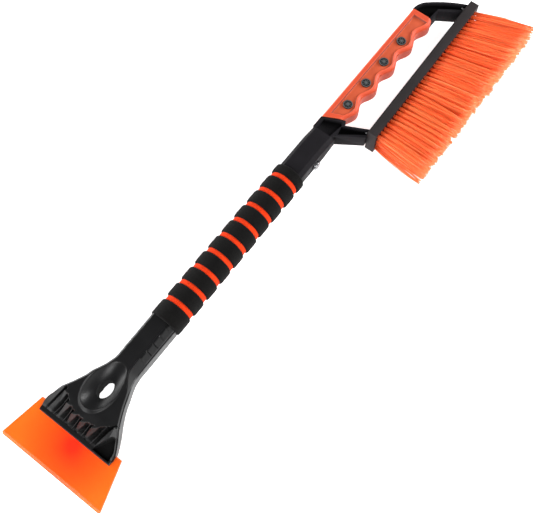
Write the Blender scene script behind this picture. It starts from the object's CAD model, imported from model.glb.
"""Looks of a long-handled snow brush with an ice scraper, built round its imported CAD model.

Shapes are worked out in the tool's own millimetres: X runs from the blade's cutting edge towards the brush,
Y and Z start at the shaft's axis, and the bristles point to -Y. place() turns them into the model's metres.
"""
import math

import bmesh
import bpy
import numpy as np
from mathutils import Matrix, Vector


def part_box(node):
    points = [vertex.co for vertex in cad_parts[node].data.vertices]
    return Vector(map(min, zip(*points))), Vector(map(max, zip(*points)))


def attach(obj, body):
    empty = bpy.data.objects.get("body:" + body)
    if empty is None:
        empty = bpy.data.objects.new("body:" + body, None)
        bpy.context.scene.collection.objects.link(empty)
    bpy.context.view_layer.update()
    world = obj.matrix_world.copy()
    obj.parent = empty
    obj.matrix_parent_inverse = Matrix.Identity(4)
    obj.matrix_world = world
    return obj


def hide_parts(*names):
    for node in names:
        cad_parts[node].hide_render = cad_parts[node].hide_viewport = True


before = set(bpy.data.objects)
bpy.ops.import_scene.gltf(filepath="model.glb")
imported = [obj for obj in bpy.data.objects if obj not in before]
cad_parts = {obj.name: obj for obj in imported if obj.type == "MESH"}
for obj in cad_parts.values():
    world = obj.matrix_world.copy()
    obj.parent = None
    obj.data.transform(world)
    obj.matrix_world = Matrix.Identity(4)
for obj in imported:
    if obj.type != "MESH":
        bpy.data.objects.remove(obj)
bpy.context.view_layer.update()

MM = 0.001
TUBE_START = 125.0
tube_low, tube_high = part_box("shaft_tube")
ORIGIN = np.array([tube_low.x - TUBE_START * MM, (tube_low.y + tube_high.y) / 2,
                   (tube_low.z + tube_high.z) / 2])

TUBE_R = 10.0
BLADE_DROP = 28.2
BLADE_TILT = math.radians(15.4)
BLADE_SLOPE = math.tan(BLADE_TILT)
BLADE_T = 2.8


# ---------------------------------------------------------------- shape helpers

def place(points):
    """The tool's millimetres as the model's metres."""
    return np.asarray(points, float) * MM + ORIGIN


def smoothstep(low, high, value):
    """0 below low, 1 above high, and a smooth rise between them."""
    t = np.clip((value - low) / (high - low), 0, 1)
    return t * t * (3 - 2 * t)


def curve_through(points):
    """A smooth function of x through a few points."""
    px, py = np.array(points, float).T
    slope = np.gradient(py, px)

    def value(x):
        x = np.clip(x, px[0], px[-1])
        i = np.clip(np.searchsorted(px, x, side="right") - 1, 0, len(px) - 2)
        h = px[i + 1] - px[i]
        t = (x - px[i]) / h
        rise = (1 + 2 * t) * (1 - t) ** 2 * py[i] + t * t * (3 - 2 * t) * py[i + 1]
        return rise + t * (1 - t) ** 2 * h * slope[i] + t * t * (t - 1) * h * slope[i + 1]
    return value


def arc(centre, radius, start, end, steps):
    """Points of an arc, its angles in degrees."""
    angles = np.radians(np.linspace(start, end, steps + 1))
    return [(centre[0] + radius * math.cos(a), centre[1] + radius * math.sin(a)) for a in angles]


def oval(centre, half_x, half_y, count):
    """Points of a closed ellipse."""
    angles = np.linspace(0, 2 * math.pi, count + 1)[:-1]
    return [(centre[0] + half_x * math.cos(a), centre[1] + half_y * math.sin(a)) for a in angles]


def tube_faces(count, size, closed=False):
    """Quads between count rings of size points each, and two end caps unless the tube closes on itself."""
    i = np.arange(count if closed else count - 1)[:, None]
    j = np.arange(size)[None, :]
    k = (j + 1) % size
    after = (i + 1) % count
    quads = np.stack([i * size + j, i * size + k, after * size + k, after * size + j], -1)
    quads = quads.reshape(-1, 4).tolist()
    if closed:
        return quads
    return quads + [list(range(size))[::-1], list(range((count - 1) * size, count * size))]


def new_object(name, points, faces):
    """A mesh object in the model's frame from points in the tool's millimetres, its normals outwards."""
    mesh = bpy.data.meshes.new(name)
    mesh.from_pydata(place(points).tolist(), [], faces)
    work = bmesh.new()
    work.from_mesh(mesh)
    bmesh.ops.recalc_face_normals(work, faces=work.faces)
    work.to_mesh(mesh)
    work.free()
    obj = bpy.data.objects.new(name, mesh)
    bpy.context.scene.collection.objects.link(obj)
    return obj


def loft(name, rings):
    """A closed tube through rings of points."""
    rings = np.asarray(rings, float)
    return new_object(name, rings.reshape(-1, 3), tube_faces(rings.shape[0], rings.shape[1]))


def prism(name, outline, low, high, turn=None):
    """A plan outline raised from low to high; turn maps its points to other tool coordinates."""
    rings = np.array([[(x, y, z) for x, y in outline] for z in (low, high)], float)
    if turn:
        rings = turn(rings)
    return loft(name, rings)


def turned(name, profile, centre, axis, segments=96, closed=False):
    """A profile of (station, radius) turned round an axis ("x", "y" or "z") through centre."""
    a = np.linspace(0, 2 * math.pi, segments, endpoint=False)
    rings = []
    for station, radius in profile:
        u, v = radius * np.cos(a), radius * np.sin(a)
        w = np.full(segments, station)
        order = {"x": (w, u, v), "y": (v, w, u), "z": (u, v, w)}[axis]
        rings.append(np.stack(order, -1) + np.array(centre))
    rings = np.array(rings)
    return new_object(name, rings.reshape(-1, 3), tube_faces(len(profile), segments, closed))


def tool_places(piece):
    """The vertices of a piece as the tool's x, y and z in millimetres."""
    return (np.array([v.co for v in piece.data.vertices]) - ORIGIN).T / MM


def mark(piece, label, values):
    """Gives each vertex a number that a material reads."""
    attribute = piece.data.attributes.new(label, "FLOAT", "POINT")
    attribute.data.foreach_set("value", np.asarray(values, np.float32).ravel())


def apply_modifiers(obj):
    """Applies an object's modifiers to its mesh."""
    evaluated = obj.evaluated_get(bpy.context.evaluated_depsgraph_get())
    mesh = bpy.data.meshes.new_from_object(evaluated)
    obj.modifiers.clear()
    obj.data = mesh


def combine(obj, other, operation):
    """Cuts other out of obj, or joins it to obj, and removes it."""
    modifier = obj.modifiers.new("combine", "BOOLEAN")
    modifier.operation = operation
    modifier.object = other
    modifier.solver = "EXACT"
    apply_modifiers(obj)
    bpy.data.objects.remove(other)


def cut(obj, other):
    """Cuts other out of obj."""
    combine(obj, other, "DIFFERENCE")


def fuse(obj, other):
    """Joins other to obj."""
    combine(obj, other, "UNION")


def bevel(obj, width, segments=3, angle=32):
    """Rounds the edges that turn by more than an angle in degrees, over a width in millimetres."""
    modifier = obj.modifiers.new("bevel", "BEVEL")
    modifier.width = width * MM
    modifier.segments = segments
    modifier.limit_method = "ANGLE"
    modifier.angle_limit = math.radians(angle)
    apply_modifiers(obj)


def finish_piece(obj, material, body, slot, *nodes, sharp=35):
    """Shades a piece, gives it its material, and says what it rides on and stands for."""
    obj.data.materials.clear()
    obj.data.materials.append(material)
    obj.data.shade_smooth()
    obj.data.set_sharp_from_angle(angle=math.radians(sharp))
    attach(obj, body)
    if nodes:
        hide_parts(*nodes)


# ---------------------------------------------------------------- materials

class Paint:
    """A node material with a Principled shader and short calls for the nodes that feed it."""

    def __init__(self, name, **values):
        self.material = bpy.data.materials.new(name)
        self.material.use_nodes = True
        self.tree = self.material.node_tree
        self.tree.nodes.clear()
        self.shader = self.add("ShaderNodeBsdfPrincipled")
        output = self.add("ShaderNodeOutputMaterial")
        self.link(self.shader.outputs["BSDF"], output.inputs["Surface"])
        for key, value in values.items():
            self.shader.inputs[key.replace("_", " ")].default_value = value
        self.place = self.add("ShaderNodeTexCoord").outputs["Object"]

    def add(self, kind, **settings):
        node = self.tree.nodes.new(kind)
        for key, value in settings.items():
            setattr(node, key, value)
        return node

    def link(self, source, target):
        self.tree.links.new(source, target)

    def noise(self, scale, detail, stretch=None):
        place = self.place
        if stretch:
            mapping = self.add("ShaderNodeMapping")
            mapping.inputs["Scale"].default_value = stretch
            self.link(place, mapping.inputs["Vector"])
            place = mapping.outputs["Vector"]
        node = self.add("ShaderNodeTexNoise")
        node.inputs["Scale"].default_value = scale
        node.inputs["Detail"].default_value = detail
        node.inputs["Roughness"].default_value = 0.55
        self.link(place, node.inputs["Vector"])
        return node.outputs["Fac"]

    def ramp(self, source, *stops):
        """A colour ramp through (position, colour or grey value) stops."""
        node = self.add("ShaderNodeValToRGB")
        elements = node.color_ramp.elements
        while len(elements) < len(stops):
            elements.new(0.5)
        for element, (position, colour) in zip(elements, stops):
            element.position = position
            grey = isinstance(colour, (int, float))
            element.color = (colour, colour, colour, 1) if grey else (*colour, 1)
        self.link(source, node.inputs["Fac"])
        return node.outputs["Color"]

    def mix(self, factor, a, b, blend="MIX"):
        """Mixes two colours, each a socket or an RGB tuple."""
        node = self.add("ShaderNodeMix", data_type="RGBA", blend_type=blend)
        if isinstance(factor, float):
            node.inputs[0].default_value = factor
        else:
            self.link(factor, node.inputs[0])
        for socket, value in ((node.inputs[6], a), (node.inputs[7], b)):
            if isinstance(value, tuple):
                socket.default_value = (*value, 1)
            else:
                self.link(value, socket)
        return node.outputs[2]

    def math(self, operation, a, b):
        node = self.add("ShaderNodeMath", operation=operation)
        for socket, value in ((node.inputs[0], a), (node.inputs[1], b)):
            if isinstance(value, (int, float)):
                socket.default_value = value
            else:
                self.link(value, socket)
        return node.outputs[0]

    def attribute(self, name):
        return self.add("ShaderNodeAttribute", attribute_name=name).outputs["Fac"]

    def worn_edges(self):
        """White on convex edges and black elsewhere."""
        return self.ramp(self.add("ShaderNodeNewGeometry").outputs["Pointiness"], (0.505, 0.0), (0.57, 1.0))

    def bump(self, height, strength, distance):
        node = self.add("ShaderNodeBump")
        node.inputs["Strength"].default_value = strength
        node.inputs["Distance"].default_value = distance * MM
        self.link(height, node.inputs["Height"])
        self.link(node.outputs["Normal"], self.shader.inputs["Normal"])

    def colour(self, source):
        self.link(source, self.shader.inputs["Base Color"])

    def rough(self, source, low, high):
        self.link(self.ramp(source, (0.3, low), (0.7, high)), self.shader.inputs["Roughness"])


def moulded_plastic(name, dark, light, low, high, gloss, grain=1500):
    """Moulded plastic with a cloudy tone, a roughness from low to high and a fine grain.

    It is matt black where a piece is marked deep, and worn where it is marked edge.
    """
    paint = Paint(name, IOR=1.46, Specular_IOR_Level=gloss)
    tone = paint.ramp(paint.noise(38, 4), (0.3, dark), (0.7, light))
    tone = paint.mix(paint.attribute("edge"), tone, (0.06, 0.058, 0.062))
    paint.colour(paint.mix(paint.attribute("deep"), tone, (0.0012, 0.0012, 0.0013)))
    satin = paint.ramp(paint.noise(60, 5), (0.3, low), (0.7, high))
    roughness = paint.mix(paint.attribute("deep"), satin, (0.95, 0.95, 0.95))
    paint.link(roughness, paint.shader.inputs["Roughness"])
    paint.bump(paint.noise(grain, 2), 0.35, 0.12)
    return paint.material


def stud_plastic():
    """Black plastic whose raised ribs and rim are worn grey."""
    paint = Paint("stud_black", Roughness=0.42, IOR=1.46)
    paint.colour(paint.mix(paint.attribute("edge"), (0.0045, 0.005, 0.0055), (0.085, 0.095, 0.098)))
    paint.bump(paint.noise(1500, 2), 0.3, 0.1)
    return paint.material


BLADE_HEART = (32, -3, -20)
BLADE_FADE = 60


def clear_orange():
    """Orange polycarbonate: deep red-orange near the head's lip, yellower outwards and at its edges."""
    paint = Paint("blade_orange", Roughness=0.22, IOR=1.5, Transmission_Weight=0.08, Specular_IOR_Level=0.22,
                  Subsurface_Weight=0.2, Subsurface_Radius=(1.0, 0.35, 0.08), Subsurface_Scale=0.003)
    shift = paint.add("ShaderNodeVectorMath", operation="SUBTRACT")
    shift.inputs[1].default_value = place([BLADE_HEART])[0]
    paint.link(paint.place, shift.inputs[0])
    mapping = paint.add("ShaderNodeMapping")
    fade = 1 / (BLADE_FADE * MM)
    mapping.inputs["Scale"].default_value = (fade, fade, 0)
    paint.link(shift.outputs[0], mapping.inputs["Vector"])
    length = paint.add("ShaderNodeVectorMath", operation="LENGTH")
    paint.link(mapping.outputs["Vector"], length.inputs[0])
    spread = paint.math("ADD", length.outputs["Value"], paint.math("MULTIPLY", paint.noise(16, 2), 0.16))
    body = paint.ramp(spread, (0.16, (0.92, 0.024, 0.004)), (0.3, (0.92, 0.05, 0.004)),
                      (0.5, (0.92, 0.078, 0.004)), (0.68, (0.92, 0.1, 0.005)), (1.0, (0.92, 0.145, 0.008)))
    paint.colour(paint.mix(paint.attribute("edge"), body, (0.9, 0.12, 0.012)))
    paint.bump(paint.noise(220, 3, stretch=(1, 0.12, 1)), 0.05, 0.05)
    return paint.material


def foam(name, dark, light):
    """Closed-cell foam: matt, with fine open pores."""
    paint = Paint(name, Roughness=0.95, Sheen_Weight=0.02, Sheen_Roughness=0.6, Specular_IOR_Level=0.12)
    cells = paint.add("ShaderNodeTexVoronoi")
    cells.inputs["Scale"].default_value = 1300
    paint.link(paint.place, cells.inputs["Vector"])
    pores = paint.ramp(cells.outputs["Distance"], (0.0, 0.0), (0.55, 1.0))
    tone = paint.ramp(paint.noise(120, 4), (0.3, dark), (0.7, light))
    paint.colour(paint.mix(pores, tuple(c * 0.62 for c in dark), tone))
    paint.bump(pores, 0.5, 0.35)
    return paint.material


def grip_rubber():
    """Matt orange rubber: paler on the recess's floor, darker on the walls round it."""
    paint = Paint("grip_orange", Sheen_Weight=0.15, Sheen_Roughness=0.5)
    side = paint.ramp(paint.noise(45, 4), (0.3, (0.55, 0.046, 0.007)), (0.7, (0.63, 0.057, 0.009)))
    edged = paint.mix(paint.worn_edges(), side, (0.85, 0.115, 0.03))
    floor = paint.ramp(paint.noise(90, 4), (0.3, (0.54, 0.070, 0.016)), (0.7, (0.62, 0.088, 0.022)))
    wall = paint.ramp(paint.attribute("floor"), (0.0, 1.0), (0.2, 0.42), (0.8, 0.42), (1.0, 1.0))
    paint.colour(paint.mix(1.0, paint.mix(paint.attribute("floor"), edged, floor), wall, "MULTIPLY"))
    paint.rough(paint.noise(80, 4), 0.5, 0.66)
    paint.bump(paint.noise(1700, 2), 0.3, 0.1)
    return paint.material


def bristle():
    """Fluorescent orange filaments: redder at the root, paler at the tip, each with its own tone."""
    paint = Paint("bristle_orange", Roughness=0.42, IOR=1.45, Emission_Color=(1.0, 0.05, 0.01, 1),
                  Emission_Strength=0.06, Subsurface_Weight=0.15, Subsurface_Radius=(1.0, 0.3, 0.1),
                  Subsurface_Scale=0.0015)
    tone = paint.ramp(paint.attribute("tint"), (0.0, (1.0, 0.11, 0.022)), (0.45, (1.0, 0.20, 0.055)),
                      (0.8, (1.0, 0.28, 0.09)), (1.0, (1.0, 0.40, 0.16)))
    root = paint.ramp(paint.attribute("along"), (0.05, (1.0, 0.7, 0.65)), (0.3, (1.0, 0.92, 0.9)),
                      (0.9, (1.0, 1.0, 1.0)))
    paint.colour(paint.mix(1.0, tone, root, "MULTIPLY"))
    paint.bump(paint.noise(900, 2, stretch=(1, 0.1, 1)), 0.2, 0.05)
    return paint.material


def metal(name, colour, low, high, stretch):
    """Metal with fine drawing lines."""
    paint = Paint(name, Metallic=1.0)
    paint.colour(paint.mix(paint.noise(300, 3, stretch), tuple(c * 0.8 for c in colour), colour))
    paint.rough(paint.noise(500, 3, stretch), low, high)
    paint.bump(paint.noise(900, 2, stretch), 0.1, 0.02)
    return paint.material


def pale_floor():
    """Plain matt white floor, lit a little from below like a light table."""
    paint = Paint("studio_floor", Roughness=0.9, Emission_Color=(1, 1, 1, 1), Emission_Strength=0.62)
    paint.colour(paint.ramp(paint.noise(3, 2), (0.3, 0.93), (0.7, 0.95)))
    return paint.material


HEAD_PLASTIC = moulded_plastic("head_black", (0.0045, 0.0045, 0.0048), (0.0065, 0.0065, 0.007), 0.28, 0.4,
                               gloss=0.28)
FRAME_PLASTIC = moulded_plastic("frame_black", (0.0105, 0.0097, 0.0112), (0.0150, 0.0138, 0.0160), 0.48, 0.58,
                                gloss=0.07)
BLOCK_PLASTIC = moulded_plastic("block_black", (0.019, 0.0155, 0.016), (0.026, 0.0215, 0.022), 0.55, 0.65,
                                grain=900, gloss=0.2)
STUD_PLASTIC = stud_plastic()
BLADE = clear_orange()
FOAM_BLACK = foam("foam_black", (0.003, 0.0027, 0.0026), (0.0046, 0.0042, 0.004))
FOAM_ORANGE = foam("foam_orange", (0.72, 0.036, 0.004), (0.80, 0.048, 0.006))
GRIP = grip_rubber()
BRISTLE = bristle()
STEEL = metal("zinc_steel", (0.62, 0.62, 0.64), 0.25, 0.4, (1, 1, 1))
BUTTON_STEEL = metal("button_steel", (0.30, 0.30, 0.31), 0.18, 0.26, (1, 6, 1))
TUBE_METAL = metal("tube_aluminium", (0.36, 0.36, 0.38), 0.36, 0.5, (0.08, 1, 1))


# ---------------------------------------------------------------- scraper head

# Lip, ice claws with slots between them, and the deck behind them
LIP_X, LIP_TOP = 38.7, -6.2
LIP_FLAT = LIP_TOP - 0.8
CLAW_X, CLAW_PITCH, CLAW_FIRST, CLAW_SKEW, CLAW_COUNT = 43.5, 11.6, 40.5, 0.36, 5
EDGE_PHASE, FACET_PHASE = 0.2, 0.28
SLOT_END, SLOT_SWEEP, SLOT_MIDDLE, SLOT_SIDE, SLOT_SLOPE = 52.5, 14, -1, 30, 0.3
CLAWS_END = 76.0
DECK_Z, DECK_FRONT, DECK_FALL = 14.6, 67, 0.22
NECK_TOP, NECK_END = 12.5, 174.9
# Thumb dish with its crest, and the oval hole through it
DISH_X, DISH_Y, DISH_LONG, DISH_WIDE = 92.5, 2.6, 27.4, 15.9
BOWL_Z = 8.4
CREST_RISE, CREST_SIDE = 3.1, math.radians(150)
HOLE_X, HOLE_Y, HOLE_LONG, HOLE_WIDE, HOLE_WIDE_BELOW = 90.4, 0.9, 9.8, 7.2, 6.4
# Underside: the jaw below the blade and the hollow below the dish
JAW_T, JAW_END = 3.0, 71
HOLLOW_X, HOLLOW_LONG, HOLLOW_WIDE, HOLLOW_Z, HOLLOW_WALL = 92, 17.0, 11.5, -3.2, 5.9
# Finger pads, the chamfer at its narrowest, and the spigot inside the first foam band
PADS_X, PAD_PITCH, PAD_RISE = 132.2, 9.5, 0.9
CHAMFER, CHAMFER_DROP = 1.7, 4.2
SPIGOT_X0, SPIGOT_X1, SPIGOT_R = 175.4, 186.6, 12.5
# Points across the upper and lower face in each section
TOP_STEPS, BOTTOM_STEPS = 250, 50
# Half width of the head along its length
head_half = curve_through([(LIP_X, 43.8), (48.5, 44), (56.5, 41.3), (64.5, 37.4), (72.5, 32.8), (80.5, 28.7),
                           (88.5, 25), (96.5, 21.9), (104.5, 18.6), (112.5, 15.6), (120.5, 14.1), (128, 13.9),
                           (180, 13.9)])


def blade_under(x):
    """Height of the blade's underside."""
    return -BLADE_DROP + x * BLADE_SLOPE


# Height of the underside behind the jaw
under_line = curve_through([(JAW_END, blade_under(JAW_END) - JAW_T), (84, -7.1), (96, -7.5), (108, -8.5),
                            (118, -11.5), (126, -12.5), (180, -12.5)])


def deck_height(x):
    """The deck: level round the dish, falling gently to the claws in front and to the neck behind."""
    fall = np.clip(DECK_FRONT - x, 0, None)
    to_neck = (NECK_TOP - DECK_Z) * smoothstep(106, 122, x)
    return DECK_Z - DECK_FALL * fall * fall / (fall + 3) + to_neck


def claws(x, y):
    """Height of the ice claws: thin fins with a cut facet beside each, and deep slots that end at the deck.

    phase counts the claws from the +Y side, and part runs from 0 at one fin to 1 at the next.
    """
    deck = deck_height(x)
    end_x = SLOT_END + SLOT_SWEEP * (np.minimum(abs(y - SLOT_MIDDLE), SLOT_SIDE) / SLOT_SIDE) ** 2.6
    phase = (CLAW_FIRST - y - CLAW_SKEW * (x - CLAW_X)) / CLAW_PITCH
    part = phase - np.floor(phase)
    before, after = phase < EDGE_PHASE, phase > CLAW_COUNT + EDGE_PHASE
    rise = np.clip((x - CLAW_X) / (end_x - CLAW_X), 0, 1)
    slots = LIP_FLAT + SLOT_SLOPE * (x - CLAW_X)
    slots = slots + (deck - slots) * smoothstep(1.0, 4.5, x - end_x)
    slant = np.where(before, 0.2, np.where(after, 0.15, part - FACET_PHASE))
    reach = end_x + 9 * slant
    facet = LIP_TOP + (deck_height(reach) - LIP_TOP) * (x - CLAW_X - 1) / (reach - CLAW_X - 1)
    facet = np.where(x < reach, facet, deck)
    right = np.where(phase < 1, 0.6, 0.40 + 0.24 * rise)
    inner = smoothstep(FACET_PHASE - 0.04, FACET_PHASE, part) * (1 - smoothstep(right, right + 0.22, part))
    last = smoothstep(CLAW_COUNT + 0.36, CLAW_COUNT + 0.40, phase)
    rim = 1 - smoothstep(0.04, 0.10, phase)
    inner = np.where(after, last, np.where(before, rim, inner))
    line = np.where((phase > 0.5) & (phase < CLAW_COUNT + 0.5), 1.0, 0.0)
    fin = line * (1 - smoothstep(0.03, 0.06, abs(((phase + 0.5) % 1.0) - 0.5)))
    blade = LIP_TOP + (deck - LIP_TOP) * np.clip((x - CLAW_X) / (end_x + 4 - CLAW_X), 0, 1)
    z = slots + (facet - slots) * inner
    return z + (np.maximum(blade, z) - z) * fin


def corner_pocket(x, y):
    """1 inside the dark pocket at the lip's -Y corner, 0 outside."""
    corners = [(CLAW_X, -22.5), (60.4, -33.4), (61.6, -37.4), (51.0, -41.8), (41.0, -41.6), (41.0, -22.5)]
    inside = np.full(np.shape(x), 1e9)
    for (ax, ay), (bx, by) in zip(corners, corners[1:] + corners[:1]):
        length = math.hypot(bx - ax, by - ay)
        inside = np.minimum(inside, ((by - ay) * (x - ax) - (bx - ax) * (y - ay)) / length)
    return smoothstep(-0.2, 0.6, inside)


def dish_height(x, y, deck):
    """The deck with its thumb dish: a bowl, with a crest that stands highest in front on the +Y side."""
    along = (x - DISH_X) / DISH_LONG
    across = (y - DISH_Y) / (DISH_WIDE * (1 - 0.1 * along))
    e = np.hypot(along, across)
    lift = 0.5 + 0.5 * np.cos(np.arctan2(across, along) - CREST_SIDE)
    crest = deck + 0.3 + CREST_RISE * lift ** 1.7
    bowl = BOWL_Z + (crest - 0.4 - BOWL_Z) * np.clip(e / 0.97, 0, 1) ** 2.2
    flank = crest + (deck - crest) * np.clip((e - 1) / 0.11, 0, 1)
    round_over = smoothstep(0.94, 1.0, e)
    return np.where(e < 1.0, bowl + (crest - bowl) * round_over, flank)


def head_top(x, y, pocketed=True):
    """Height of the head's upper face, with or without the pocket at its corner."""
    x, y = np.broadcast_arrays(np.asarray(x, float), np.asarray(y, float))
    lip = LIP_FLAT - 1.4 * (1 - smoothstep(LIP_X, LIP_X + 0.8, x))
    z = np.where(x < CLAW_X, lip, np.where(x < CLAWS_END, claws(x, y), deck_height(x)))
    z = z + dish_height(x, y, deck_height(x)) - deck_height(x)
    if not pocketed:
        return z
    pocket = corner_pocket(x, y)
    return z + (blade_under(x) + BLADE_T + 0.6 - z) * pocket


def head_bottom(x, y):
    """Height of the head's lower face: the jaw under the blade, a hollow under the dish, then the neck."""
    x, y = np.broadcast_arrays(np.asarray(x, float), np.asarray(y, float))
    z = np.where(x < JAW_END, blade_under(x) - JAW_T, under_line(x))
    z = np.where(x < LIP_X + 4, blade_under(x) + BLADE_T + 0.35, z)
    e = np.hypot((x - HOLLOW_X) / HOLLOW_LONG, y / HOLLOW_WIDE)
    inside = (1 - smoothstep(0.93, 1.0, e)) * (1 - smoothstep(HOLLOW_WALL, HOLLOW_WALL + 0.6, y))
    return z + (HOLLOW_Z - z) * inside


def rib(x):
    """Height of the finger pads along the neck's shoulders, with narrow gaps between them."""
    t = ((x - PADS_X) / PAD_PITCH) % 1.0
    pad = smoothstep(0, 0.06, t) * (1 - smoothstep(0.94, 1.0, t)) * (1 - 0.35 * t)
    return PAD_RISE * pad * smoothstep(PADS_X - 0.4, PADS_X + 0.2, x)


def head_side(x, sign):
    """One side of the head's section, from the deck's edge down to the bottom: [(y, z), ...].

    A narrow chamfer runs along the +Y side, and on the -Y side it widens to the neck's shoulder. The finger
    pads stand on both.
    """
    half = float(head_half(x))
    bottom = float(head_bottom(x, half))
    neck = float(smoothstep(98, 120, x))
    deck = float(smoothstep(52, 66, x))
    if sign > 0:
        chamfer, drop = CHAMFER + 2.0 * deck, CHAMFER_DROP - 1.4 * deck
    else:
        chamfer, drop = CHAMFER + 1.2 * deck + 5.9 * neck, CHAMFER_DROP + 4.2 * neck
    y1 = half - chamfer
    top = float(head_top(x, sign * y1, pocketed=False))
    low = max(top - drop, bottom + 4.2)
    line = 1.0 * neck if sign < 0 else 0.0
    ys = [y1, y1 + 0.2, y1 + 1.1]
    zs = [top, top - line, top - line * 1.2]
    bulge = float(rib(x))
    for t in np.linspace(0.14, 1, 15):
        swell = bulge * float(smoothstep(0.14, 0.22, t) * (1 - smoothstep(0.9, 0.98, t)))
        soft = 0.3 * math.sin(math.pi * t)
        ys.append(y1 + (chamfer - 1.1) * t + (swell + soft) * 0.7)
        zs.append(top + (low - top) * t + (swell + soft) * 0.7)
    out = half + (0.5 * bulge if sign > 0 else 0.0)
    rail = [(out - 1.0, low - 0.6), (out - 0.15, low - 1.0), (out, low - 1.5)]
    deep = bottom + 1.6
    wall = [(out + (half - out) * t, low - 1.5 + (deep - low + 1.5) * t)
            for t in (0.12, 0.3, 0.5, 0.7, 0.85, 1.0)]
    base = [(half - 0.5, bottom + 0.6), (half - 1.6, bottom)]
    for y, z in rail + wall + base:
        ys.append(y)
        zs.append(z)
    return np.array([np.array(ys) * sign, zs]).T


def head_ring(x):
    """The head's whole section at x."""
    right = head_side(x, -1)
    left = head_side(x, 1)
    top_y = np.linspace(left[0, 0], right[0, 0], TOP_STEPS + 1)[1:-1]
    bottom_y = np.linspace(right[-1, 0], left[-1, 0], BOTTOM_STEPS + 1)[1:-1]
    top = np.stack([top_y, head_top(x, top_y)], -1)
    bottom = np.stack([bottom_y, head_bottom(x, bottom_y)], -1)
    section = np.concatenate([top, right, bottom, left[::-1]])
    return np.column_stack([np.full(len(section), x), section])


def on_blade(points):
    """Blade coordinates (along the blade, across, up from its underside) as the tool's."""
    points = np.asarray(points, float)
    s, y, z = points[..., 0], points[..., 1], points[..., 2]
    x = s * math.cos(BLADE_TILT) - z * math.sin(BLADE_TILT)
    up = s * math.sin(BLADE_TILT) + z * math.cos(BLADE_TILT) - BLADE_DROP
    return np.stack([x, y, up], -1)


# Blade in its own plane: half widths, the tongue behind its shoulders and the ground cutting edge
BLADE_FRONT, BLADE_REAR, BLADE_LEN, TONGUE_END, TONGUE_HALF = 63.0, 50.2, 52.0, 71.0, 25.0
BLADE_CORNER = 1.6
EDGE_T, EDGE_RUN = 0.9, 3.4
SLOT_GAP, SLOT_GAP_UP = 0.12, 0.08
SCREW_S, SCREW_YS, SCREW_R, SCREW_HEAD_R = 62.0, (-18.0, 0.0, 18.0), 1.9, 3.5


def blade_outline(grow):
    """Plan of the blade: small cut corners at the front, shoulders and a tongue at the back."""
    lean = (BLADE_FRONT - BLADE_REAR) / BLADE_LEN
    half = [(0, BLADE_FRONT - BLADE_CORNER * 1.3), (BLADE_CORNER, BLADE_FRONT - BLADE_CORNER * lean),
            (BLADE_LEN + grow, BLADE_REAR), (BLADE_LEN + grow, TONGUE_HALF + grow),
            (TONGUE_END + grow, TONGUE_HALF + grow)]
    return half + [(x, -y) for x, y in reversed(half)]


def mark_head(head):
    """Marks the slots between the claws, the hole's wall and the corner's pocket as deep."""
    x, y, z = tool_places(head)
    slots = np.clip((LIP_TOP + 0.8 * (x - CLAW_X) - z) / 2, 0, 1) * (z > LIP_TOP - 1.5)
    slots = slots * (x > CLAW_X + 2) * (x < 62) * (abs(y) < head_half(x) - 1)
    hole = (np.hypot((x - HOLE_X) / HOLE_LONG, (y - HOLE_Y) / HOLE_WIDE) < 1.01) & (z < DECK_Z)
    pocket = corner_pocket(x, y) * (z > blade_under(x))
    mark(head, "deep", np.maximum(np.maximum(slots, pocket), hole))


def make_head():
    """The scraper head with its spigot, thumb hole, blade slot, screw sinks and tube socket."""
    stations = np.concatenate([np.arange(LIP_X, CLAWS_END, 0.4), np.arange(CLAWS_END, 122, 0.75),
                               np.arange(122, NECK_END, 0.55), [NECK_END]])
    rings = [head_ring(x) for x in stations]
    angles = np.arctan2(rings[-1][:, 2], rings[-1][:, 1])
    for x in (SPIGOT_X0, SPIGOT_X1):
        around = SPIGOT_R * np.cos(angles), SPIGOT_R * np.sin(angles)
        rings.append(np.column_stack([np.full(len(angles), x), *around]))
    head = loft("head_shell", np.array(rings))
    rings = []
    for z, wide in ((-20, HOLE_WIDE_BELOW), (-8, HOLE_WIDE_BELOW), (6, HOLE_WIDE), (40, HOLE_WIDE)):
        centre = (HOLE_X, HOLE_Y - (HOLE_WIDE - wide))
        rings.append([(x, y, z) for x, y in oval(centre, HOLE_LONG, wide, 64)])
    cut(head, loft("hole", np.array(rings)))
    slot = [(x if x > 1 else x - 5, y) for x, y in blade_outline(SLOT_GAP)]
    cut(head, prism("slot", slot, -SLOT_GAP_UP, BLADE_T + SLOT_GAP_UP, on_blade))
    for y in SCREW_YS:
        cut(head, prism("sink", oval((SCREW_S, y), SCREW_HEAD_R, SCREW_HEAD_R, 28), -6, -1.1, on_blade))
    cut(head, turned("socket", [(TUBE_START, TUBE_R + 0.02), (190, TUBE_R + 0.02)], (0, 0, 0), "x", 64))
    mark_head(head)
    finish_piece(head, HEAD_PLASTIC, "handle", "head_plastic", "scraper_head", sharp=30)


def pale_edges(piece, width):
    """Marks a band along the edges of a plate's large faces: edge is 1 at the edges and 0 inside them."""
    work = bmesh.new()
    work.from_mesh(piece.data)
    layer = work.verts.layers.float.new("edge")
    large = [face for face in work.faces if face.calc_area() > 30 * MM * MM]
    bmesh.ops.inset_region(work, faces=large, thickness=width * MM, use_even_offset=True)
    for v in work.verts:
        v[layer] = 1.0
    for face in large:
        for v in face.verts:
            v[layer] = 0.0
    work.to_mesh(piece.data)
    work.free()


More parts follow.
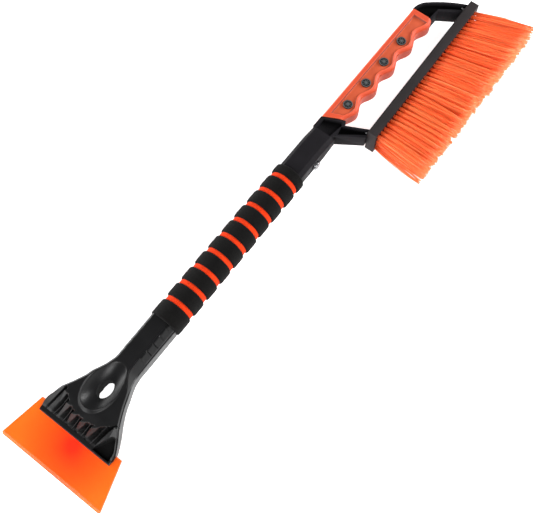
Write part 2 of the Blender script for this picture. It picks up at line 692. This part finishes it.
def make_blade():
    """The blade with its ground cutting edge and screw holes."""
    blade = prism("blade", blade_outline(0), 0, BLADE_T, on_blade)
    past, over = BLADE_FRONT + 7, BLADE_T + 2
    wedge = [(-2, EDGE_T), (0, EDGE_T), (EDGE_RUN, BLADE_T - 0.05), (EDGE_RUN, over), (-2, over)]
    rings = np.array([[(s, y, z) for s, z in wedge] for y in (-past, past)], float)
    cut(blade, loft("wedge", on_blade(rings)))
    for y in SCREW_YS:
        ring = oval((SCREW_S, y), SCREW_R, SCREW_R, 24)
        cut(blade, prism("screw_hole", ring, -2, over, on_blade))
    bevel(blade, 0.45, 2)
    pale_edges(blade, 0.9)
    finish_piece(blade, BLADE, "handle", "blade_plastic", "scraper_blade")


# ---------------------------------------------------------------- foam grip

FOAM_START, FOAM_END = 174.8, 379.4
RING_START, RING_PITCH, RING_WIDTH, RING_COUNT = 196.6, 21.18, 5.6, 9
TUBE_GAP = 0.05
BAND = {"radius": 17.35, "edge": 1.8, "crown": 0.12, "material": FOAM_BLACK, "slot": "foam_black"}
RING = {"radius": 15.6, "edge": 0.7, "crown": 0.05, "material": FOAM_ORANGE, "slot": "foam_orange"}


def foam_piece(name, node, start, end, inner, radius, edge, crown, material, slot):
    """A foam sleeve with rounded edges and a slight crown; its skin is a little uneven."""
    body = arc((start + edge, radius - edge), edge, 180, 90, 6)
    stretch = np.linspace(start + edge, end - edge, 9)[1:-1]
    middle, half = (start + end) / 2, (end - start) / 2
    body += [(x, radius + crown * (1 - ((x - middle) / half) ** 2)) for x in stretch]
    body += arc((end - edge, radius - edge), edge, 90, 0, 6)
    profile = [(start, inner)] + body + [(end, inner)]
    sleeve = turned(name, profile, (0, 0, 0), "x", 112, closed=True)
    co = np.array([v.co for v in sleeve.data.vertices])
    off = co[:, 1:] - ORIGIN[1:]
    r = np.hypot(off[:, 0], off[:, 1])
    a = np.arctan2(off[:, 1], off[:, 0])
    phase = start * 0.7
    ripple = 0.10 * np.sin(3 * a + phase) + 0.07 * np.sin(5 * a - 2 * phase)
    ripple = ripple + 0.05 * np.sin(9 * a + co[:, 0] * 900)
    grow = np.where(r > (inner + 1.5) * MM, ripple * MM, 0)
    co[:, 1:] = ORIGIN[1:] + off * ((r + grow) / r)[:, None]
    sleeve.data.vertices.foreach_set("co", co.ravel())
    finish_piece(sleeve, material, "handle", slot, node, sharp=60)


def make_foam():
    """Black bands between orange rings; the first band sits on the head's spigot."""
    on_tube = TUBE_R + TUBE_GAP
    centres = [RING_START + RING_PITCH * i for i in range(RING_COUNT)]
    edges = [FOAM_START] + [c + s * RING_WIDTH / 2 for c in centres for s in (-1, 1)] + [FOAM_END]
    for i in range(RING_COUNT + 1):
        inner = SPIGOT_R + 0.2 if i == 0 else on_tube
        start, end = edges[2 * i], edges[2 * i + 1]
        foam_piece(f"foam_sleeve_{i + 1:02d}", f"foam_band_{i + 1:02d}", start, end, inner, **BAND)
    for i, centre in enumerate(centres):
        start, end = centre - RING_WIDTH / 2, centre + RING_WIDTH / 2
        foam_piece(f"foam_groove_{i + 1:02d}", f"foam_ring_{i + 1:02d}", start, end, on_tube, **RING)


# ---------------------------------------------------------------- brush frame

# Neck from its mouth over the sloping shoulder to the grip, with the socket for the tube
MOUTH_X, SLOPE_X0, SLOPE_X1, NECK_X1, SOCKET_END = 379.8, 421.0, 437.0, 441.0, 427.0
NECK_W, NECK_H, FRAME_H, NECK_CHAMFER = 13.4, 12.2, 9.0, 4.2
BUTTON_X, BUTTON_R = 405.0, 4.75
GRIP_X0, GRIP_X1, GRIP_SLANT = 451.5, 625.0, 11.0
# y of the frame's inner edge, the arch's two radii and the angles where they meet and end
ARM_IN = -10.8
ARCH_R, ARCH_TOP_R, ARCH_TURN, ARCH_END = 22, 150, 42, 23.6
CHANNEL_DEPTH, RIM = 5.0, 2.6
CORE_HALF, CORE_OUT, CORE_GAP = 7.5, 8.5, 0.1


def octagon(w, h, c):
    """Section with half width w, half height h and corners cut by c."""
    upper = [(w, h - c), (w - c, h), (c - w, h), (-w, h - c)]
    return upper + [(-y, -z) for y, z in upper]


def joint_plan(inset):
    """Plan of the joint of neck, grip and cross arm; an inset plan is the channel inside its rim."""
    start, outer, elbow = NECK_X1 - 4, NECK_W, -3.0
    if inset:
        start, outer, elbow = NECK_X1 - 3.6, NECK_W - 3.8, -4.4
    return [(start, outer), (GRIP_X0 - inset * 0.3, outer), (GRIP_X0 + 8.2 - inset, elbow),
            (GRIP_X0 + GRIP_SLANT - inset * 1.5, ARM_IN + inset), (458 - inset, -13.4 + inset),
            (start + 3 + inset, -11.2 + inset), (start, -8.0)]


def cross_plan(inset):
    """Plan of the arm from the neck to the block."""
    return [(440.2 + inset * 1.3, -11.2 - inset * 0.6), (458.8 + inset * 1.1, -38.6 + inset * 0.5),
            (470 - inset * 1.2, -37.6 + inset * 0.5), (457.5 - inset * 1.2, -13.4 + inset)]


def arch_plan(inset):
    """Plan of the arch from the grip's far end to the block: a tight bend, then a wide one."""
    centre = (GRIP_X1, NECK_W - ARCH_R)
    turn = math.radians(ARCH_TURN)
    back = ARCH_R - ARCH_TOP_R
    second = (centre[0] + back * math.cos(turn), centre[1] + back * math.sin(turn))
    outer = arc(centre, ARCH_R - inset, 90, ARCH_TURN, 8)
    outer += arc(second, ARCH_TOP_R - inset, ARCH_TURN, ARCH_END, 7)[1:]
    return outer + [(654 + inset, -33.6 + inset), (639 + inset, -10.8 + inset / 2), (GRIP_X1, ARM_IN + inset)]


def core_plan(grow):
    """Plan of the frame's straight core inside the grip."""
    low, high = -CORE_HALF - grow, CORE_OUT + grow
    return [(GRIP_X0 - 1, low), (GRIP_X1 + 1, low), (GRIP_X1 + 1, high), (GRIP_X0 - 1, high)]


def make_frame():
    """Neck, joint, cross arm, arch and core in one, with channels in both faces, a bore and a button hole."""
    neck = []
    for x, h in ((MOUTH_X, NECK_H), (SLOPE_X0, NECK_H), (SLOPE_X1, FRAME_H), (NECK_X1, FRAME_H)):
        neck.append([(x, y, z) for y, z in octagon(NECK_W, h, NECK_CHAMFER)])
    body = loft("brush_frame_shell", np.array(neck))
    fuse(body, prism("joint", joint_plan(0), -FRAME_H, FRAME_H))
    fuse(body, prism("cross", cross_plan(0), -FRAME_H, FRAME_H))
    fuse(body, prism("arch", arch_plan(0), -FRAME_H, FRAME_H))
    fuse(body, prism("core", core_plan(0), -CORE_HALF, CORE_HALF))
    for side in (-1, 1):
        low, high = sorted((side * (FRAME_H - CHANNEL_DEPTH), side * (FRAME_H + 2)))
        for plan in (joint_plan, cross_plan, arch_plan):
            cut(body, prism("channel", plan(RIM), low, high))
    bore, hole = TUBE_R + TUBE_GAP, BUTTON_R + 0.6
    cut(body, turned("bore", [(MOUTH_X - 5, bore), (SOCKET_END, bore)], (0, 0, 0), "x", 64))
    cut(body, turned("button_hole", [(-20, hole), (0, hole)], (BUTTON_X, 0, 0), "y", 40))
    bevel(body, 0.8, 2, 25)
    x, _, z = tool_places(body)
    below_rim = FRAME_H - 1.4 - abs(z)
    mark(body, "deep", np.where(x > NECK_X1 - 1, np.clip(below_rim / (CHANNEL_DEPTH - 1.4), 0, 1), 0))
    mark(body, "edge", (x > SLOPE_X1) & (abs(abs(z) - FRAME_H + 0.28) < 0.25))
    finish_piece(body, FRAME_PLASTIC, "brush_head", "frame_plastic", "brush_frame", sharp=28)


GRIP_H, GRIP_CROWN = 10.2, 0.5
WAVE_LEN, WAVE_Y, WAVE_RISE, WAVE_X = 34.5, -11, 3, 514
RECESS_DEPTH, RECESS_OUT, RECESS_END = 2.3, 7.0, 618.0
RECESS_WAVE_Y, RECESS_WAVE_RISE, RECESS_WAVE_X = -7.2, 1.6, 497
STUD_X, STUD_Y, STUD_PITCH, STUD_R, STUD_COUNT = 480.4, -0.6, 33.7, 5.2, 4
STUD_FOOT, STUD_TOP = 7.8, 9.6


def wave(x):
    """y of the finger waves along the grip's inner side."""
    return WAVE_Y - WAVE_RISE * np.cos(2 * math.pi * (x - WAVE_X) / WAVE_LEN)


def recess(x, y):
    """1 on the floor of the grip's recess, 0 on the rim round it."""
    wavy_side = RECESS_WAVE_Y + RECESS_WAVE_RISE * np.cos(2 * math.pi * (x - RECESS_WAVE_X) / WAVE_LEN)
    slanted_end = GRIP_X0 + 10 + (RECESS_OUT - y) * 0.42
    across = np.minimum(RECESS_OUT - y, y - wavy_side)
    along = np.minimum(x - slanted_end, RECESS_END - x)
    return smoothstep(-0.9, 0.8, np.minimum(across, along))


def grip_ring(u):
    """Points of one ring of the grip and how far each is recessed; u runs from 0 at the slanted end to 1."""
    outer = NECK_W - 0.2
    x_in = GRIP_X0 + GRIP_SLANT + u * (GRIP_X1 - GRIP_X0 - GRIP_SLANT)
    width = outer - wave(x_in)
    r_out, r_in = 2.6, 5.2
    top = [(a, GRIP_H) for a in np.linspace(r_out, width - r_in, 88)]
    under = [(a, -z) for a, z in reversed(top)]
    inner = arc((width - r_in, GRIP_H - r_in), r_in, 90, 0, 10)[1:]
    inner += arc((width - r_in, r_in - GRIP_H), r_in, 0, -90, 10)
    outside = arc((r_out, r_out - GRIP_H), r_out, -90, -180, 5)[1:]
    outside += arc((r_out, GRIP_H - r_out), r_out, 180, 90, 5)[:-1]
    section = np.array(top + inner + under[1:] + outside)
    across = section[:, 0] / width
    x_low = GRIP_X0 + 0.1 + GRIP_SLANT * across
    x = x_low + u * (GRIP_X1 - 0.1 - x_low)
    y = outer - section[:, 0]
    flat = abs(section[:, 1]) > GRIP_H - 0.01
    floor = recess(x, y) * flat
    crown = GRIP_CROWN * smoothstep(0, 0.25, np.minimum(across, 1 - across)) - GRIP_CROWN
    z = section[:, 1] + np.sign(section[:, 1]) * (crown - RECESS_DEPTH * floor) * flat
    return np.column_stack([x, y, z]), floor


def make_grip():
    """The soft grip over the frame's core, with its recess and a seat for each stud."""
    rings = [grip_ring(u) for u in np.linspace(0, 1, 300)]
    grip = loft("soft_grip_shell", np.array([points for points, _ in rings]))
    mark(grip, "floor", np.concatenate([floor for _, floor in rings]))
    cut(grip, prism("core", core_plan(CORE_GAP), -CORE_HALF - CORE_GAP, CORE_HALF + CORE_GAP))
    hole = STUD_R + 0.15
    for i in range(STUD_COUNT):
        x = STUD_X + STUD_PITCH * i
        cut(grip, turned("stud_hole", [(STUD_FOOT - 0.1, hole), (14, hole)], (x, STUD_Y, 0), "z", 40))
    finish_piece(grip, GRIP, "brush_head", "grip_rubber", "soft_grip", sharp=50)


def make_stud(i):
    """Round stud with a rim and a plain pattern of raised radial ribs."""
    x = STUD_X + STUD_PITCH * i
    dip = STUD_TOP - 0.6
    profile = [(STUD_FOOT, 0.01), (STUD_FOOT, STUD_R), (STUD_TOP - 0.3, STUD_R), (STUD_TOP, STUD_R - 0.3),
               (STUD_TOP, STUD_R - 0.8), (dip, STUD_R - 1.1), (dip, 0.01)]
    stud = turned(f"stud_{i + 1}", profile, (x, STUD_Y, 0), "z", 48)
    pointed = ((-3.7, 0), (-2.9, -0.33), (2.9, -0.33), (3.7, 0), (2.9, 0.33), (-2.9, 0.33))
    for k in range(4):
        a = math.pi * k / 4 + 0.2
        bar = [(x + math.cos(a) * l - math.sin(a) * w, STUD_Y + math.sin(a) * l + math.cos(a) * w)
               for l, w in pointed]
        fuse(stud, prism("bar", bar, dip - 0.2, STUD_TOP + 0.02))
    mark(stud, "edge", tool_places(stud)[2] > STUD_TOP - 0.05)
    finish_piece(stud, STUD_PLASTIC, "brush_head", "stud_plastic", f"grip_stud_{i + 1}", sharp=30)


# ---------------------------------------------------------------- brush block and bristles

BLOCK_X, BLOCK_Y, BLOCK_TURN = 463.2, -37.2, math.radians(1.15)
BLOCK_LEN, BLOCK_W, BLOCK_T, BLOCK_TOP, BLOCK_BACK = 206.0, 11.2, 34.2, 14.6, -0.7
GROOVE_INSET, GROOVE_DEPTH = 6, 0.35
ROW_ZS = (9.5, 1.5, -6.5, -14.5)
TUFT_COUNT, TUFT_LEN, TUFT_R = 33, 62.0, 1.9
TUFT_X, TUFT_ROOT = 4.5, 1.5
# Lean and reach of the first tuft along the block, and how much more the last one has
LEAN, LEAN_GAIN = -5, 25.5
REACH, REACH_GAIN = TUFT_LEN - 1.5, 2.5
# The rows fan out: a row's tips rise or fall by a share of its height over ROWS_MIDDLE
ROWS_MIDDLE, ROWS_FAN = ROW_ZS[-1] + 12, 1 / 6
# Share of a tuft's radius that its root fills, by row, and how far its strands spread at the tips
ROOT_FILL = (0.8, 1.1, 1.1, 1.1)
FAN_ALONG, FAN_UP = 2.2, 4.0
REST_STEP = 8
STRANDS, STRAND_STEPS = 38, 7
STRAND_ROOT_R, STRAND_TIP_R = 0.38, 0.28
# The tips are trimmed level here, and no strand hangs below TRIM_Z
TRIM_Y, TRIM_Z = -111.3, -19.5


def on_block(points):
    """Block coordinates (along it, away from the bristles, up) as the tool's."""
    points = np.asarray(points, float)
    c, s = math.cos(BLOCK_TURN), math.sin(BLOCK_TURN)
    x, y, z = points[..., 0], points[..., 1], points[..., 2]
    return np.stack([BLOCK_X + c * x - s * y, BLOCK_Y + s * x + c * y, z], -1)


def make_block():
    """The bar that holds the tufts, with a fine groove along its upper and lower face."""
    low, high = BLOCK_TOP - BLOCK_T, BLOCK_TOP
    plan = [(0, -BLOCK_W), (BLOCK_LEN, -BLOCK_W), (BLOCK_LEN, BLOCK_BACK), (0, BLOCK_BACK)]
    block = prism("block_shell", plan, low, high, on_block)
    end = BLOCK_LEN - GROOVE_INSET
    groove = [(GROOVE_INSET, -1.5), (end, -1.5), (end, -1.0), (GROOVE_INSET, -1.0)]
    for face in (low, high):
        cut(block, prism("groove", groove, face - GROOVE_DEPTH, face + GROOVE_DEPTH, on_block))
    bevel(block, 0.7, 3)
    finish_piece(block, BLOCK_PLASTIC, "brush_head", "block_plastic", "brush_block")


def tuft_strands(row, i, rng):
    """Roots, tips, bows and tints of one tuft's strands, in block coordinates."""
    s = i / (TUFT_COUNT - 1)
    x = TUFT_X + (BLOCK_LEN - TUFT_X - 9) * s
    lean = LEAN + LEAN_GAIN * s + rng.normal(0, 1.6)
    reach = REACH + REACH_GAIN * s + rng.normal(0, 0.8)
    rise = (ROW_ZS[row] - ROWS_MIDDLE) * ROWS_FAN
    a = rng.uniform(0, 2 * math.pi, STRANDS)
    r = np.sqrt(rng.uniform(0, 1, STRANDS))
    fill = TUFT_R * ROOT_FILL[row]
    root = np.stack([x + fill * r * np.cos(a), np.full(STRANDS, -BLOCK_W + TUFT_ROOT),
                     ROW_ZS[row] + fill * r * np.sin(a)], -1)
    spread = np.stack([FAN_ALONG * r * np.cos(a) + rng.normal(0, 0.7, STRANDS),
                       rng.normal(0, 1.3, STRANDS) - 0.8 * r,
                       FAN_UP * r * np.sin(a) + rng.normal(0, 0.8, STRANDS)], -1)
    tip = np.array([x + lean, -BLOCK_W - reach, ROW_ZS[row] + rise]) + spread
    bow = np.stack([1.2 * r * np.cos(a) + rng.normal(0, 0.7, STRANDS) - lean * 0.04, np.zeros(STRANDS),
                    r * np.sin(a) + rng.normal(0, 0.5, STRANDS)], -1)
    tint = np.clip(rng.normal(0.5, 0.15, STRANDS) + rng.normal(0, 0.06), 0, 1)
    return root, tip, bow, tint


def strand_lines(root, tip, bow):
    """Points along strands that bow to one side between root and tip: (strand, step, 3)."""
    t = np.linspace(0, 1, STRAND_STEPS)[None, :, None]
    straight = root[:, None, :] + (tip - root)[:, None, :] * t
    return straight + bow[:, None, :] * (t * (1 - t) * 4)


def make_bristles(name, row, picks, node, rng):
    """All strands of the picked tufts of one row as one mesh of thin three-sided rods."""
    root, tip, bow, tint = [np.concatenate(part) for part in zip(*[tuft_strands(row, i, rng) for i in picks])]
    tip[:, 1] = np.maximum(tip[:, 1], TRIM_Y - BLOCK_Y - math.sin(BLOCK_TURN) * tip[:, 0])
    tip[:, 2] = np.clip(tip[:, 2], TRIM_Z + 0.1, None)
    lines = strand_lines(root, tip, bow)
    count = len(lines)
    radius = np.linspace(STRAND_ROOT_R, STRAND_TIP_R, STRAND_STEPS)[None, :, None]
    twist = rng.uniform(0, 2 * math.pi, count)[:, None, None]
    angle = twist + np.array([0, 2, 4]) * math.pi / 3
    section = np.stack([np.cos(angle), np.zeros_like(angle), np.sin(angle)], -1)
    points = lines[:, :, None, :] + section * radius[..., None]
    points[..., 2] = np.maximum(points[..., 2], TRIM_Z)
    rod = tube_faces(STRAND_STEPS, 3)
    starts = (np.arange(count) * STRAND_STEPS * 3)[:, None, None]
    faces = []
    for corners in (4, 3):
        one = np.array([face for face in rod if len(face) == corners])
        faces += (one + starts).reshape(-1, corners).tolist()
    piece = new_object(name, on_block(points).reshape(-1, 3), faces)
    along = np.linspace(0, 1, STRAND_STEPS)[None, :, None]
    mark(piece, "along", np.broadcast_to(along, (count, STRAND_STEPS, 3)))
    mark(piece, "tint", np.repeat(tint, STRAND_STEPS * 3))
    finish_piece(piece, BRISTLE, "brush_head", "bristle", node, sharp=180)


def make_brush():
    """The block, four rows of tufts, and the tufts of the lowest row that the tool rests on."""
    make_block()
    rng = np.random.default_rng(11)
    lowest = len(ROW_ZS) - 1
    resting = [i for i in range(TUFT_COUNT) if i % REST_STEP == 0]
    for row in range(len(ROW_ZS)):
        picks = [i for i in range(TUFT_COUNT) if row < lowest or i not in resting]
        make_bristles(f"bristle_row_{row + 1}", row, picks, f"tuft_row_{row + 1}", rng)
    make_bristles("bristle_rest", lowest, resting, "rest_tufts", rng)


# ---------------------------------------------------------------- button and kept CAD nodes

BUTTON_TIP, BUTTON_ROUND = -17.2, 1.5
FLANGE_BACK, FLANGE_FRONT, FLANGE_R = -4.9, -6.1, 5.8


def make_button():
    """Snap button: a flange inside the tube and a pin with a rounded end."""
    profile = [(FLANGE_BACK, 0.01), (FLANGE_BACK, FLANGE_R), (FLANGE_FRONT, FLANGE_R),
               (FLANGE_FRONT, BUTTON_R)]
    end = arc((BUTTON_R - BUTTON_ROUND, BUTTON_TIP + BUTTON_ROUND), BUTTON_ROUND, 0, -90, 6)
    profile += [(y, r) for r, y in end] + [(BUTTON_TIP, 0.01)]
    button = turned("button", profile, (BUTTON_X, 0, 0), "y", 48)
    finish_piece(button, BUTTON_STEEL, "button", "button_steel", "snap_button", sharp=40)


def paint_cad_nodes():
    """The hidden metal parts stay as the CAD has them."""
    for node, material in (("blade_screws", STEEL), ("shaft_tube", TUBE_METAL), ("neck_pin", STEEL),
                           ("button_spring", STEEL), ("block_screws", STEEL), ("tuft_anchors", STEEL)):
        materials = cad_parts[node].data.materials
        materials.clear()
        materials.append(material)


# ---------------------------------------------------------------- studio

CAMERA_AT = (-0.31461, -0.21033, 0.86058)
CAMERA_TO = (-0.05666, -0.01268, 0.0282)
LENS, SENSOR = 60, 36
FLOOR_HALF = 6


def facing(at, to):
    """Rotation of a camera or light at one point that looks at another."""
    return (Vector(to) - Vector(at)).to_track_quat("-Z", "Y").to_euler()


def make_camera():
    data = bpy.data.cameras.new("camera")
    data.lens = LENS
    data.sensor_width = SENSOR
    camera = bpy.data.objects.new("camera", data)
    camera.location = CAMERA_AT
    camera.rotation_euler = facing(CAMERA_AT, CAMERA_TO)
    bpy.context.scene.collection.objects.link(camera)
    bpy.context.scene.camera = camera


def make_light(name, at, to, size, power):
    data = bpy.data.lights.new(name, "AREA")
    data.shape = "RECTANGLE"
    data.size, data.size_y = size
    data.energy = power
    light = bpy.data.objects.new(name, data)
    light.location = at
    light.rotation_euler = facing(at, to)
    bpy.context.scene.collection.objects.link(light)


def make_studio():
    """A white floor, a dim white sky and five soft lights."""
    corners = [(x * FLOOR_HALF, y * FLOOR_HALF, 0) for x, y in ((-1, -1), (1, -1), (1, 1), (-1, 1))]
    mesh = bpy.data.meshes.new("floor")
    mesh.from_pydata(corners, [], [(0, 1, 2, 3)])
    mesh.materials.append(pale_floor())
    floor = bpy.data.objects.new("floor", mesh)
    bpy.context.scene.collection.objects.link(floor)
    world = bpy.data.worlds.new("studio")
    world.use_nodes = True
    sky = world.node_tree.nodes["Background"]
    sky.inputs["Color"].default_value = (1, 1, 1, 1)
    sky.inputs["Strength"].default_value = 0.3
    bpy.context.scene.world = world
    bpy.context.scene.view_settings.view_transform = "Standard"
    make_light("key_left", (-1.35, 0.25, 0.36), (-0.1, 0, 0), (0.5, 1.2), 9)
    make_light("fill_front", (0.1, -1.4, 0.42), (0, 0, 0), (1.8, 0.45), 5)
    make_light("back_edge", (-0.45, 1.35, 0.38), (-0.1, 0, 0), (2.2, 0.45), 30)
    make_light("overhead", (-1.0, -0.95, 1.4), (0, 0, 0), (0.8, 0.8), 22)
    make_light("brush_side", (1.15, -0.75, 0.6), (0.25, -0.05, 0), (0.4, 0.6), 21)


make_studio()
make_camera()
make_head()
make_blade()
make_foam()
make_frame()
make_grip()
for number in range(STUD_COUNT):
    make_stud(number)
make_brush()
make_button()
paint_cad_nodes()
